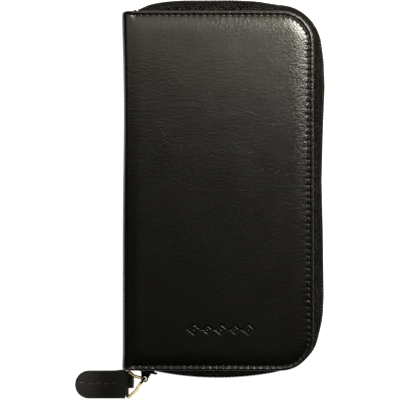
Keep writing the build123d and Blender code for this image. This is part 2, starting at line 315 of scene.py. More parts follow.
def sheet_faces(rows, columns, flip=False):
    """Quads of a sheet's two sides, stored one after the other, and of the rim that joins them."""
    side = rows * columns
    faces = grid_faces(rows, columns, flip=flip) + grid_faces(rows, columns, side, flip=not flip)
    rim = [(0, c) for c in range(columns)] + [(r, columns - 1) for r in range(1, rows)]
    rim += [(rows - 1, c) for c in range(columns - 2, -1, -1)] + [(r, 0) for r in range(rows - 2, 0, -1)]
    for (r0, c0), (r1, c1) in zip(rim, rim[1:] + rim[:1]):
        a, b = r0 * columns + c0, r1 * columns + c1
        quad = (b, a, a + side, b + side)
        faces.append(quad[::-1] if flip else quad)
    return faces


def ring_faces(rows, sides, start=0):
    """Quads round a stack of rings of points, and a cap at each end."""
    faces = []
    for r in range(rows - 1):
        a = start + r * sides
        for k in range(sides):
            n = (k + 1) % sides
            faces.append((a + k, a + n, a + sides + n, a + sides + k))
    last = start + (rows - 1) * sides
    return faces + [tuple(range(start + sides - 1, start - 1, -1)), tuple(range(last, last + sides))]


def smoothstep(t):
    t = np.clip(t, 0, 1)
    return float(t * t * (3 - 2 * t))


def edge_round(d, radius):
    """Share of a sheet's thickness that is left at distance d from its rounded edge."""
    return math.sqrt(max(1 - (1 - min(d / radius, 1)) ** 2, 0.0))


def circle(count, first=0.0):
    """Angles of points evenly round a circle."""
    return [2 * math.pi * (k + first) / count for k in range(count)]


def path_frame(path, i):
    """Direction of a path at its point i, from its neighbours."""
    return (path[min(i + 1, len(path) - 1)] - path[max(i - 1, 0)]).normalized()


RIM_ANGLE = math.radians(50)            # a plate's rim turns by more than this
LEVEL = 1e-6                            # ends of an edge at the same height differ by less


def prism(name, outline, low, high, bevel, segments=3, place=Matrix.Identity(4), hole=None):
    """Gunmetal plate of an outline's shape between two heights, with rounded edges."""
    bm = bmesh.new()
    edges = []
    for loop in [outline] + ([hole] if hole else []):
        ring = [bm.verts.new((x, y, low)) for x, y in loop]
        edges += [bm.edges.new((a, b)) for a, b in zip(ring, ring[1:] + ring[:1])]
    filled = bmesh.ops.triangle_fill(bm, edges=edges, use_beauty=True, use_dissolve=True)
    faces = [f for f in filled["geom"] if isinstance(f, bmesh.types.BMFace)]
    bmesh.ops.recalc_face_normals(bm, faces=faces)
    extruded = bmesh.ops.extrude_face_region(bm, geom=faces)
    new_verts = [g for g in extruded["geom"] if isinstance(g, bmesh.types.BMVert)]
    bmesh.ops.translate(bm, verts=new_verts, vec=(0, 0, high - low))
    bmesh.ops.recalc_face_normals(bm, faces=bm.faces)
    rims = [e for e in bm.edges if len(e.link_faces) == 2 and e.calc_face_angle(0) > RIM_ANGLE
            and abs(e.verts[0].co.z - e.verts[1].co.z) < LEVEL]
    bmesh.ops.bevel(bm, geom=rims, offset=bevel, segments=segments, affect="EDGES", profile=0.5,
                    clamp_overlap=True)
    bmesh.ops.transform(bm, matrix=place, verts=bm.verts)
    bmesh.ops.scale(bm, vec=(MM, MM, MM), verts=bm.verts)
    mesh = bpy.data.meshes.new(name)
    bm.to_mesh(mesh)
    bm.free()
    return new_object(name, mesh, "gunmetal", flat_above=40)


def stand_in(obj, body, *nodes):
    """The piece is shown in place of the CAD's nodes and moves with the body."""
    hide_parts(*nodes)
    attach(obj, body)


# a stitch's shape from end to end: place along it, thickness
STITCH_SHAPE = [(-1.0, 0.25), (-0.86, 0.72), (-0.6, 0.97), (0.0, 1.0), (0.6, 0.97), (0.86, 0.72),
                (1.0, 0.25)]
STITCH_SIDES = 8
STITCH_FLAT = 0.8                       # its height over its width
STITCH_SINK = 0.55                      # its ends go down by this share of its radius


def stitches(name, body, spots, radius, thread="grey_thread", turned=False):
    """Row of stitches: one flattened capsule, its ends sunk, for each (middle, direction, up, length)."""
    points, faces = [], []
    for middle, direction, up, length in spots:
        direction = Vector(direction).normalized()
        up = Vector(up)
        if turned:
            middle, up = (middle[0], middle[1], THICK - middle[2]), -up
        across = direction.cross(up).normalized()
        lift = across.cross(direction)
        faces += ring_faces(len(STITCH_SHAPE), STITCH_SIDES, len(points))
        for t, size in STITCH_SHAPE:
            sink = -STITCH_SINK * radius * abs(t) ** 3
            centre = Vector(middle) + direction * (t * length / 2) + lift * sink
            for a in circle(STITCH_SIDES):
                points.append(centre + across * (math.cos(a) * radius * size)
                              + lift * (math.sin(a) * radius * STITCH_FLAT * size))
    obj = piece(name, points, faces, thread)
    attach(obj, body)


# ---- outlines -----------------------------------------------------------------------------------------
def edge_path(inset, left, counts):
    """Points and outward normals along a cover's three free edges, from the spine round to the spine."""
    n_top, n_corner, n_side = counts
    radius = CORNER - inset
    cx, cy = EDGE_X - CORNER, EDGE_Y - CORNER
    points, normals = [], []

    def straight(a, b, normal, n):
        for t in np.arange(n) / n:
            points.append((a[0] + (b[0] - a[0]) * t, a[1] + (b[1] - a[1]) * t))
            normals.append(normal)

    def round_corner(y, start, n):
        for t in np.arange(n) / n:
            angle = math.radians(start - 90 * t)
            points.append((cx + radius * math.cos(angle), y + radius * math.sin(angle)))
            normals.append((math.cos(angle), math.sin(angle)))

    top, side = EDGE_Y - inset, EDGE_X - inset
    straight((left, top), (cx, top), (0, 1), n_top)
    round_corner(cy, 90, n_corner)
    straight((side, cy), (side, -cy), (1, 0), n_side)
    round_corner(-cy, 0, n_corner)
    straight((cx, -top), (left, -top), (0, -1), n_top)
    points.append((left, -top))
    normals.append((0, -1))
    return np.array(points), np.array(normals)


def lengths(points):
    """Distance of each point of a path from its start."""
    steps = np.linalg.norm(np.diff(points, axis=0), axis=1)
    return np.concatenate([[0], np.cumsum(steps)])


def rect(x0, y0, x1, y1, radius, steps=5):
    """Rectangle outline with rounded corners."""
    points = []
    for cx, cy, start in ((x1 - radius, y1 - radius, 0), (x0 + radius, y1 - radius, 90),
                          (x0 + radius, y0 + radius, 180), (x1 - radius, y0 + radius, 270)):
        for k in range(steps + 1):
            a = math.radians(start + 90 * k / steps)
            points.append((cx + radius * math.cos(a), cy + radius * math.sin(a)))
    return points


# ---- leather wrap: covers, creases and spine ----------------------------------------------------------
FINE = (192, 64, 368, 64, 192)          # steps along top, corner, side, corner, bottom: eight to a stitch
COARSE = 4                              # fine steps to one coarse step, away from the seam
# the turned edge and the leather behind it, as (distance in from the edge, height below the face)
WALL_TURN = 3.65                        # how far the turned edge goes down
WALL = [(3.2, -WALL_TURN), (0.5, -WALL_TURN), (0.15, -3.5), (0.0, -3.2), (0.0, -2.0), (0.0, -0.8)]
FINE_RINGS = [0.05, 0.15, 0.3, 0.5, 0.8, 1.1, 1.4, 1.6, 1.8, 2.0, 2.2, 2.4, 2.7, 3.0, 3.4, 3.9, 4.6, 5.5]
COARSE_RINGS = [6.5, 8.0, 9.5, 11.5, 13.5, CORNER]
EDGE_ROUND = 0.8
FIELD_START, FIELD_RISE = 2.3, 8.5      # the padded field rises from the seam over this distance
FIELD_DEPTH, BEAD_DEPTH, GROOVE_DEPTH = 1.0, 0.36, 0.46
CREASE_DEPTH = 0.62                     # soft fold beside the spine
SPINE_DEPTH = 2.6                       # the leather's turned edge at the spine's ends
SPINE_END = 1.8                         # rounding of the spine's ends


def hump(x, width):
    return math.exp(-(x / width) ** 2)


def stitch_hole(s):
    """1 at a stitch hole and 0 between holes, at distance s along a seam."""
    return (0.5 + 0.5 * math.cos(2 * math.pi * s / STITCH)) ** 3


def swell(x, y):
    """Slight unevenness of the padded field."""
    broad, small = Vector((x / 21, y / 21, 3.0)), Vector((x / 8, y / 8, 9.0))
    return 0.07 * noise.noise(broad) + 0.03 * noise.noise(small)


def face_height(d, s, u, y):
    """Height of a cover's outer face, below its highest level, at distance d from its free edge.

    s runs along the edge and u across the case, going on round the crease; y picks the unevenness."""
    round_edge = 0.0
    if d < EDGE_ROUND:
        round_edge = math.sqrt(max(EDGE_ROUND ** 2 - (EDGE_ROUND - d) ** 2, 0.0)) - EDGE_ROUND
    beyond_crease = smoothstep((u - CREASE_X - 0.4) / 2.6)
    hole = stitch_hole(s)
    bead = -BEAD_DEPTH - 0.10 * hole * hump(d - 1.4, 0.5)
    field = -FIELD_DEPTH * (1 - min(max((d - FIELD_START) / FIELD_RISE, 0.0), 1.0)) ** 2.6
    step = smoothstep((d - 1.6) / 0.9)
    groove = -GROOVE_DEPTH * hump(d - SEAM_INSET, 0.45)
    pull = -hole * (0.28 * hump(d - 2.5, 0.6) + 0.05 * hump(d - 2.8, 1.5))
    seam = bead * (1 - step) + field * step + groove + pull
    no_seam = -0.12 * math.exp(-d / 2.0)
    across = u - CREASE_X + 0.2
    crease = -CREASE_DEPTH * hump(across, 2.3 if across > 0 else 4.0)
    level = seam * beyond_crease + no_seam * (1 - beyond_crease) + round_edge
    inner = smoothstep((d - 3) / 6) * beyond_crease
    return level + crease * smoothstep(d / 2.0) + swell(u, y) * inner - 0.08 * inner


def spine_shift(y):
    """How far the spine bows out or in along its length, its ends rounded off."""
    left = min(EDGE_Y - abs(y), SPINE_END)
    rounding = SPINE_END - math.sqrt(SPINE_END ** 2 - (SPINE_END - left) ** 2)
    bows = 0.25 * hump(y + EDGE_Y - 2, 4) + 0.45 * hump(y - 88, 18) - 0.5 * hump(y - 36, 34)
    return bows - rounding


def wrap_points():
    """Points and faces of the front half of the wrap: cover, crease, and the spine down to its middle."""
    points, faces = [], []
    base, normals = edge_path(0, CREASE_X, FINE[:3])
    run = lengths(base)
    count = len(base)
    rings = []

    def ring(d, height=None, step=1):
        rings.append((len(points), len(range(0, count, step))))
        for i in range(0, count, step):
            (x, y), (nx, ny) = base[i], normals[i]
            px, py = x - nx * d, y - ny * d
            h = height if height is not None else face_height(d, run[i], px, py)
            points.append((px, py, THICK + h))

    for d, h in WALL:
        ring(d, h)
    for d in FINE_RINGS:
        ring(d)
    for d in COARSE_RINGS:
        ring(d, step=COARSE)
    for (a, na), (b, nb) in zip(rings, rings[1:]):
        if na == nb:
            faces += [(a + i, b + i, b + i + 1, a + i + 1) for i in range(na - 1)]
        else:
            for i in range(nb - 1):
                outer = [a + COARSE * i + k for k in range(COARSE, -1, -1)]
                faces.append((*outer, b + i, b + i + 1))

    # the middle of the cover, inside the last ring
    columns, rows = FINE[0] // COARSE, FINE[2] // COARSE
    xs = np.linspace(CREASE_X, EDGE_X - CORNER, columns + 1)
    ys = np.linspace(EDGE_Y - CORNER, CORNER - EDGE_Y, rows + 1)
    start = len(points)
    for y in ys:
        for x in xs:
            points.append((x, y, THICK + face_height(CORNER, 0, x, y)))
    faces += grid_faces(rows + 1, columns + 1, start, flip=True)

    # crease and spine: stations across, the same samples down each
    samples = [(EDGE_Y - d, d, h) for d, h in WALL]
    samples += [(EDGE_Y - d, d, None) for d in FINE_RINGS + COARSE_RINGS]
    samples += [(y, EDGE_Y - abs(y), None) for y in ys[1:-1]]
    samples += [(d - EDGE_Y, d, None) for d in reversed(FINE_RINGS + COARSE_RINGS)]
    samples += [(d - EDGE_Y, d, h) for d, h in reversed(WALL)]
    stations = []
    for k in range(11):
        a = math.radians(9 * k)
        x, z = CREASE_X - CREASE * math.sin(a), THICK - CREASE + CREASE * math.cos(a)
        stations.append((x, z, a, CREASE * a))
    for t in np.linspace(0, 1, 9)[1:]:
        z = THICK - CREASE + (MID - THICK + CREASE) * t
        stations.append((SPINE_X, z, math.pi / 2, CREASE * math.pi / 2 + THICK - CREASE - z))
    start = len(points)
    for x, z, a, arc in stations:
        thin = min(a / math.radians(60), 1.0)
        wall_scale = 1 - thin * (1 - (SPINE_DEPTH - EDGE_ROUND) / (WALL_TURN - EDGE_ROUND))
        outward = Vector((-math.sin(a), 0, math.cos(a)))
        for y, d, h in samples:
            if h is None:
                # away from the ends both ends' edges are far, so the distance is capped at the cover's
                height = face_height(min(d, CORNER), 0, CREASE_X - arc, y)
            else:
                height = -EDGE_ROUND + (h + EDGE_ROUND) * wall_scale
            p = Vector((x, y, z)) + outward * height
            p.x -= spine_shift(y) * math.sin(a) ** 2
            points.append(tuple(p))
    faces += grid_faces(len(stations), len(samples), start, flip=True)
    return points, faces


def merge(obj, distance=0.003):
    """Join points that lie on each other and make all faces look outwards."""
    bm = bmesh.new()
    bm.from_mesh(obj.data)
    bmesh.ops.remove_doubles(bm, verts=bm.verts, dist=distance * MM)
    bmesh.ops.dissolve_degenerate(bm, edges=bm.edges, dist=distance * MM * 0.1)
    bmesh.ops.recalc_face_normals(bm, faces=bm.faces)
    face_outwards(bm)
    bm.to_mesh(obj.data)
    bm.free()
    obj.data.shade_smooth()
    return obj


wrap, wrap_faces = wrap_points()
front_wrap = merge(piece("front_cover_and_spine", wrap, wrap_faces, "cover_leather"))
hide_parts("front_cover_leather")
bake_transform(front_wrap)
back_wrap = merge(piece("back_cover_and_spine", wrap, wrap_faces, "cover_leather", turned=True))
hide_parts("back_cover_leather", "spine_leather")
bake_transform(back_wrap)


# ---- ornament pressed into the front cover ------------------------------------------------------------
MARK_X, MARK_Y = 1.7, -67.5             # its middle
MARK_HALF = (17.0, 3.2)
MARK_PITCH = 6.6
MARK_DEPTH = 0.20
MARK_SIZES = ((2.9, 2.5), (2.2, 1.9))   # half width and half height of the lozenges, in turn
MARK_LINE, MARK_CORE, MARK_DOT = 0.32, 0.45, 0.5


def mark_depth(x, y):
    """Share of the full depth at a point: a row of outlined lozenges with dots in and between them."""
    u, v = x - MARK_X, y - MARK_Y
    if abs(u) > MARK_HALF[0] or abs(v) > MARK_HALF[1]:
        return 0.0
    k = min(max(round(u / MARK_PITCH), -2), 2)
    a, b = MARK_SIZES[k % 2]
    line = (abs(u - k * MARK_PITCH) / a + abs(v) / b - 1) * a * b / math.hypot(a, b)
    core = math.hypot(u - k * MARK_PITCH, v) - MARK_CORE
    near = min(max(math.floor(u / MARK_PITCH), -2), 1) + 0.5
    dot = math.hypot(u - near * MARK_PITCH, v) - MARK_DOT
    best = min(abs(line) - MARK_LINE, core, dot)
    return 1 - smoothstep((best + 0.2) / 0.45)


def press_mark(obj):
    """Fine mesh where the ornament is, pressed in, with a darker, rougher look: partly the burnished
    leather's own colour, partly painted shade in the hollows.
    """
    bm = bmesh.new()
    bm.from_mesh(obj.data)
    margin = 1.7                        # one coarse step of the cover's mesh
    face_z = THICK - 1                  # only what is above this is the cover's face

    def inside(face):
        c = face.calc_center_median() / MM
        return (abs(c.x - MARK_X) < MARK_HALF[0] + margin and abs(c.y - MARK_Y) < MARK_HALF[1] + margin
                and c.z > face_z)

    edges = {e for f in bm.faces if inside(f) for e in f.edges}
    bmesh.ops.subdivide_edges(bm, edges=list(edges), cuts=8, use_grid_fill=True)
    for v in bm.verts:
        x, y, z = v.co / MM
        if z > face_z:
            v.co.z -= MARK_DEPTH * mark_depth(x, y) * MM
    obj.data.materials.append(MATERIALS["pressed_leather_and_painted_shade"])
    for face in bm.faces:
        x, y, z = face.calc_center_median() / MM
        if z > face_z and mark_depth(x, y) > 0.12:
            face.material_index = 1
    bm.to_mesh(obj.data)
    bm.free()


press_mark(front_wrap)


# ---- seams of the covers, and the pads under their leather --------------------------------------------
def along(points, run, s):
    """Point at distance s along a path, and the direction there."""
    i = int(np.clip(np.searchsorted(run, s) - 1, 0, len(points) - 2))
    t = (s - run[i]) / (run[i + 1] - run[i])
    a, b = Vector(points[i]), Vector(points[i + 1])
    return a.lerp(b, t), (b - a).normalized()


def cover_stitches():
    edge, _ = edge_path(0, CREASE_X, FINE[:3])
    line, _ = edge_path(SEAM_INSET, CREASE_X, FINE[:3])
    run, line_run = lengths(edge), lengths(line)
    spots = []
    for k in range(1, int(run[-1] / STITCH) - 1):
        s = (k + 0.5) * STITCH
        (x, y), (dx, dy) = along(line, line_run, np.interp(s, run, line_run))
        z = THICK + face_height(SEAM_INSET, s, x, y) + 0.10
        slip = 0.10 * random.uniform(-1, 1)
        lean = 0.16 + 0.05 * random.uniform(-1, 1)
        length = 2.35 + random.uniform(-0.12, 0.12)
        spots.append(((x - dy * slip, y + dx * slip, z), (dx - dy * lean, dy + dx * lean, 0), UP, length))
    return spots


PAD_BASE = -2.18                        # pad's lower face, below the cover's
# rings of the pad, as (inset from the cover's edge, height below the cover's face)
PAD_RINGS = [(14.0, PAD_BASE), (3.6, PAD_BASE), (3.4, -1.75), (4.4, -1.45), (6.0, -1.25), (9.0, -1.12),
             (13.0, -1.06)]


def cover_pad(name, half):
    """Foam under a cover's leather: thickest in the middle, thin at its edges."""
    points = []
    for inset, z in PAD_RINGS:
        outline, _ = edge_path(inset, CREASE_X + inset - 1.5, (24, 16, 48))
        points += [(x, y, THICK + z) for x, y in outline]
    faces = ring_faces(len(PAD_RINGS), len(outline))
    obj = merge(piece(name, points, faces, "foam", turned=half == "back"))
    stand_in(obj, half + "_half", half + "_cover_padding")


seam = cover_stitches()
stitches("front_cover_seam", "front_half", seam, 0.27, "thread")
stitches("back_cover_seam", "back_half", seam, 0.27, "thread", turned=True)
cover_pad("front_cover_pad", "front")
cover_pad("back_cover_pad", "back")


# ---- zip: tapes and coil ------------------------------------------------------------------------------
# how far the closed zip stands out beyond the covers' edges, at distances from the top's spine end
BULGE = [(0, 0.2), (2.5, 1.2), (8.5, 3.9), (15.5, 5.1), (23.5, 5.7), (50, 5.8), (60, 5.3), (66, 4.4),
         (72, 3.4), (84.6, 3.1), (92, 3.6), (105, 5.4), (118, 5.9), (140, 5.0), (164, 4.4), (189, 5.0),
         (221, 5.4), (231, 4.8), (237, 3.5), (242, 2.2), (253, 0.2)]
BOTTOM_FROM = 265.3                     # from here the zip follows the slider's arc
TAPE = 0.6                              # its thickness
COIL_WIDTH = 1.75
FOOT_Z = 3.9                            # middle of the tape where it is sewn in
HALF_TOP = 14.3                         # tape's free edge, beside the coil


def zip_line():
    """Cover edge, outward normals and bulge along the zip, one sample to about 0.7 mm."""
    edge, normals = edge_path(0, OPEN_X, (100, 36, 200))
    run = lengths(edge)
    bulge = np.interp(run, [s for s, _ in BULGE], [b for _, b in BULGE])
    bottom = run >= BOTTOM_FROM
    bulge[bottom] = np.sqrt(SLIDE_R ** 2 - edge[bottom, 0] ** 2) - slide_pos.y - EDGE_Y
    even = np.linspace(0, run[-1], 500)
    fine = np.interp(even, run, bulge)
    kernel = np.hanning(15)
    ends = len(kernel) // 2
    padded = np.concatenate([np.full(ends, fine[0]), fine, np.full(ends, fine[-1])])
    fine = np.convolve(padded, kernel / kernel.sum(), mode="valid")
    return edge, normals, np.interp(run, even, fine), run


def bezier(points, t):
    """Point of a cubic curve with four control points."""
    a, b, c, d = points
    return a * (1 - t) ** 3 + b * 3 * t * (1 - t) ** 2 + c * 3 * t * t * (1 - t) + d * t ** 3


def tape_section(bulge, s):
    """Tape's middle line as (out from the cover's edge, z): sewn-in strip, then an S up to the coil."""
    wall = bulge - COIL_WIDTH
    ripple = 0.10 * math.sin(s / 7.3) + 0.07 * math.sin(s / 3.1 + 1.0)
    foot = min(-1.0, wall - 0.4)
    rise = Vector((max(wall * 0.6 + 0.3 * foot, foot + 0.3), FOOT_Z + 1.0 + ripple))
    control = [Vector((foot, FOOT_Z)), rise, Vector((wall + 0.25 + ripple, 8.0)), Vector((wall, HALF_TOP))]
    section = [Vector((-8.0, FOOT_Z)), Vector((-5.5, FOOT_Z)), Vector((foot - 0.8, FOOT_Z))]
    return section + [bezier(control, t) for t in np.linspace(0, 1, 15)]


ZIP_EDGE, ZIP_NORMAL, ZIP_BULGE, ZIP_RUN = zip_line()
chain = ZIP_EDGE + ZIP_NORMAL * ZIP_BULGE[:, None]
CHAIN_RUN = lengths(chain)
SECTIONS = [tape_section(b, s) for b, s in zip(ZIP_BULGE, ZIP_RUN)]


def tape_points():
    points = []
    for side in (1, -1):
        for (x, y), (nx, ny), section in zip(ZIP_EDGE, ZIP_NORMAL, SECTIONS):
            for k, middle in enumerate(section):
                tangent = path_frame(section, k)
                out = middle.x - tangent.y * side * TAPE / 2
                z = middle.y + tangent.x * side * TAPE / 2
                points.append((x + nx * out, y + ny * out, z))
    return points, sheet_faces(len(SECTIONS), len(SECTIONS[0]))


def tape_places():
    """Each tape point's place on the cloth laid flat (along, across, 0), in metres."""
    rows = [(s, w, 0.0) for s, section in zip(CHAIN_RUN, SECTIONS) for w in lengths(section)]
    return np.array(rows + rows) * MM


COIL_SIDES = 8
# one tooth from the back up, as (z, width along the chain, depth)
TOOTH_LEVELS = [(11.9, 0.55, 0.5), (12.2, 0.8, 0.8), (13.0, 0.8, 0.86), (14.3, 0.66, 0.9),
                (15.1, 0.58, 0.9), (15.35, 0.56, 0.75), (15.5, 0.34, 0.5)]


def coil_points(offset):
    """Coil's turns: rounded bars across the chain, a little narrower where they meet the other half's."""
    points, faces = [], []
    outline = [[math.copysign(abs(w) ** 0.7, w) for w in (math.cos(a), math.sin(a))]
               for a in circle(COIL_SIDES, 0.5)]
    total = CHAIN_RUN[-1]
    first = COIL_X - OPEN_X
    for k in range(int((total - 2 * first) / TOOTH)):
        s = first + (k + 0.5 + offset) * TOOTH
        (x, y), (dx, dy) = along(chain, CHAIN_RUN, s)
        if y < 0 and x < COIL_X + 0.8 or s > total - first:
            continue
        faces += ring_faces(len(TOOTH_LEVELS), COIL_SIDES, len(points))
        for z, wide, deep in TOOTH_LEVELS:
            for u, v in outline:
                across = u * wide / 2
                inwards = COIL_WIDTH / 2 - v * deep
                points.append((x + dx * across + dy * inwards, y + dy * across - dx * inwards, z))
    return points, faces


tape, tape_faces = tape_points()
for half, turned in (("back", False), ("front", True)):
    obj = piece(half + "_tape", tape, tape_faces, "zip_tape", turned)
    laid = obj.data.attributes.new("laid", "FLOAT_VECTOR", "POINT")
    laid.data.foreach_set("vector", tape_places().ravel())
    stand_in(obj, half + "_half", half + "_zip_tape")
    obj = merge(piece(half + "_coil", *coil_points(0.0 if turned else 0.5), "zip_coil", turned))
    stand_in(obj, half + "_half", half + "_zip_coil")


# ---- slider and its crown -----------------------------------------------------------------------------
SLIDE_ANGLE = math.atan2(-slider_pivot.x, slide_pos.y - slider_pivot.y)
PIN_R = math.hypot(slider_pivot.x, slide_pos.y - slider_pivot.y)
SLIDER_HALF = (5.5, 4.8)                # half length, half width at the open end
SLIDER_TAPER = 0.9
PLATE = 1.1                             # slider's plate
OUTER_FACE, INNER_FACE = 1.4, -3.1      # its two plates, out from the slider's arc
CROWN_Z = 1.0                           # half the crown's thickness
CROWN_FOOT, CROWN_NECK = 3.2, 2.6       # half widths
EYE_R, EYE_HOLE = 1.75, 1.05


def on_arc(radius):
    """Matrix for a piece drawn with +X along the slider's run and +Y towards the arc's centre."""
    turn = Matrix.Rotation(-SLIDE_ANGLE, 4, "Z")
    return Matrix.Translation((0, slide_pos.y, MID)) @ turn @ Matrix.Translation((0, -radius, 0))


def join(name, objects):
    """Several meshes of one material as one piece."""
    bm = bmesh.new()
    for obj in objects:
        bm.from_mesh(obj.data)
    first, *others = objects
    bm.to_mesh(first.data)
    bm.free()
    for obj in others:
        bpy.data.objects.remove(obj)
    first.name = name
    return first


def slider_plate(name, radius):
    """One plate of the slider: a shield whose open end is wider, with rounded edges."""
    half, wide = SLIDER_HALF
    narrow = wide - SLIDER_TAPER
    corners = [(-half, -wide, 1.6), (half, -narrow, 2.6), (half, narrow, 2.6), (-half, wide, 1.6)]
    outline = []
    for k, (x, y, r) in enumerate(corners):
        before, after = Vector(corners[k - 1][:2]), Vector(corners[(k + 1) % 4][:2])
        here = Vector((x, y))
        a, b = (before - here).normalized() * r, (after - here).normalized() * r
        for t in np.linspace(0, 1, 7):
            outline.append(tuple(here + a * (1 - t) ** 2 + b * t ** 2))
    stand = Matrix(((1, 0, 0, 0), (0, 0, 1, 0), (0, 1, 0, 0), (0, 0, 0, 1)))
    return prism(name, outline, PLATE, 0, 0.42, 4, on_arc(radius) @ stand)


def slider():
    outer = slider_plate("slider_outer", SLIDE_R + OUTER_FACE)
    inner = slider_plate("slider_inner", SLIDE_R + INNER_FACE)
    post_low, post_high = -SLIDE_R - 0.7, -SLIDE_R + 3.5
    post_outline = rect(-4.6, post_low, -2.0, post_high, 0.6)
    post = prism("slider_post", post_outline, -0.4, 0.4, 0.12, place=on_arc(0))
    lip_outline = rect(-3.9, post_low, 3.9, -SLIDE_R + 1.8, 0.4)
    lip = prism("slider_lip", lip_outline, -4.3, -3.3, 0.15, place=on_arc(0))
    return join("slider_shell", [outer, inner, post, lip])


def crown():
    """Tapered loop with a round eye for the ring's pin."""
    foot = -SLIDE_R - 1.1
    neck = foot - 0.35
    start = math.asin(0.25)             # where the eye's round leaves the neck
    outline = [(-CROWN_FOOT, foot), (CROWN_FOOT, foot), (CROWN_NECK, neck)]
    outline += [(EYE_R * math.cos(a), EYE_R * math.sin(a) - PIN_R)
                for a in np.linspace(start, -math.pi - start, 22)]
    outline.append((-CROWN_NECK, neck))
    hole = [(EYE_HOLE * math.cos(a), EYE_HOLE * math.sin(a) - PIN_R) for a in circle(23)]
    return prism("slider_crown_loop", outline, -CROWN_Z, CROWN_Z, 0.28, 3, on_arc(0), hole)


stand_in(slider(), "slider", "slider_body")
stand_in(crown(), "slider", "slider_crown")


# ---- pull ring ----------------------------------------------------------------------------------------
def rounded(corners, steps=8):
    """Path through corners (point, radius), each turned with a curve of about that radius."""
    points = [Vector(corners[0][0])]
    for (before, _), (here, radius), (after, _) in zip(corners, corners[1:], corners[2:]):
        before, here, after = Vector(before), Vector(here), Vector(after)
        a, b = (before - here).normalized(), (after - here).normalized()
        turn = math.pi - a.angle(b)
        reach = radius * math.tan(turn / 2)
        start, end = here + a * reach, here + b * reach
        for t in np.linspace(0, 1, steps):
            points.append(start * (1 - t) ** 2 + here * 2 * t * (1 - t) + end * t * t)
    points.append(Vector(corners[-1][0]))
    return points


def closed_tube(name, path, radius, material, sides=16):
    """Round wire along a closed path, whose last point is next to its first."""
    count = len(path)
    points, faces = [], []
    across = (path[1] - path[-1]).orthogonal()
    for i, p in enumerate(path):
        tangent = (path[(i + 1) % count] - path[i - 1]).normalized()
        across = (across - tangent * across.dot(tangent)).normalized()
        other = tangent.cross(across)
        points += [p + (across * math.cos(a) + other * math.sin(a)) * radius for a in circle(sides)]
    # the frame comes round turned, so the last ring joins the first by its nearest points
    gaps = [(points[(count - 1) * sides] - points[k]).length for k in range(sides)]
    for i in range(count):
        n = (i + 1) % count
        shift = gaps.index(min(gaps)) if n == 0 else 0
        for k in range(sides):
            j = (k + 1) % sides
            faces.append((i * sides + k, i * sides + j, n * sides + (j + shift) % sides,
                          n * sides + (k + shift) % sides))
    return piece(name, points, faces, material)


WIRE_R = 0.75
PIN_HALF = 2.3                          # half the height of the ring's upright pin
BASE_X = tab_pivot.x
BASE_Z = tab_pivot.z
FAR_Y, NEAR_Y = tab_pivot.y - 6.4, tab_pivot.y + 6.7    # ends of the ring's straight side


def pull_ring():
    """Bent wire: an upright pin in the crown's eye, and two arms down to the side in the tab's fold."""
    pin = Vector((slider_pivot.x, slider_pivot.y, MID))
    head, foot = pin + Vector((0, 0, PIN_HALF)), pin - Vector((0, 0, PIN_HALF))
    far, near = Vector((BASE_X, FAR_Y - 0.6, BASE_Z)), Vector((BASE_X, NEAR_Y, BASE_Z))
    outwards = Vector((far.x - pin.x, far.y - pin.y, 0)).normalized()
    shoulder = head + outwards * 2.8 - Vector((0, 0, 0.3))
    bow = (shoulder + far) * 0.5 + Vector((0.7, -0.35, 0.5))
    dip = (near + foot) * 0.5 + Vector((-1.0, -0.9, -1.0))
    corners = [(pin, 0), (head, 1.0), (shoulder, 1.6), (bow, 9.0), (far, 0.9), (near, 1.2), (dip, 8.0),
               (foot, 1.1), (pin, 0)]
    return closed_tube("pull_ring_wire", rounded(corners)[:-1], WIRE_R, "brass")


stand_in(pull_ring(), "ring", "pull_ring")


# ---- pull tab: one strip of leather folded round the ring, its two plies sewn flat together -----------
tab_low, tab_high = box_mm("pull_tab")
TAB_MID = (tab_low.y + tab_high.y) / 2
TAB_R = (tab_high.y - tab_low.y) / 2
PLY = 1.2
EAR = 0.5                               # the shoulder's corner beside the case rises this much
SHOULDER_X = BASE_X - 0.8               # the full width ends here
NECK_TOP, NECK_BOTTOM = NEAR_Y - 1.9, FAR_Y + 4.2
ROLL = Vector((BASE_X + 0.85, BASE_Z + 0.1))    # middle of the fold
ROLL_R = 1.75                           # to the middle of the leather


def tab_route():
    """Middle line of the strip, from the lower ply's tip round the ring to the upper ply's, as (x, z)."""
    tip = tab_low.x
    low = [Vector((x, PLY / 2)) for x in np.linspace(tip, ROLL.x - 4.2, 60)]
    lift = [bezier([Vector((ROLL.x - 4.2, PLY / 2)), Vector((ROLL.x - 2.4, PLY / 2)),
                    Vector((ROLL.x - 1.4, ROLL.y - ROLL_R)), Vector((ROLL.x, ROLL.y - ROLL_R))], t)
            for t in np.linspace(0, 1, 14)[1:-1]]
    turn = [ROLL + Vector((math.sin(a), -math.cos(a))) * ROLL_R for a in np.linspace(0, math.pi, 22)]
    top = PLY * 1.5 + 0.02
    fall = [bezier([Vector((ROLL.x, ROLL.y + ROLL_R)), Vector((ROLL.x - 2.0, ROLL.y + ROLL_R)),
                    Vector((ROLL.x - 3.6, top)), Vector((ROLL.x - 8.2, top))], t)
            for t in np.linspace(0, 1, 22)[1:]]
    back = [Vector((x, top)) for x in np.linspace(ROLL.x - 8.2, tip, 56)[1:]]
    return low + lift + turn + fall + back


def tab_side(x):
    """Lower and upper limit of the strip's width at x: a round tip, a small ear, then the narrow neck."""
    if x > SHOULDER_X:
        return NECK_BOTTOM, NECK_TOP
    reach = tab_low.x + TAB_R - x
    half = math.sqrt(max(TAB_R ** 2 - reach ** 2, 0.0)) if reach > 0 else TAB_R
    low, high = TAB_MID - half, TAB_MID + half + EAR * smoothstep((x - SHOULDER_X + 6.5) / 6.0)
    if x > SHOULDER_X - 0.8:
        low += 2.0 * smoothstep((x - SHOULDER_X + 0.8) / 0.8) ** 2
    return low, high


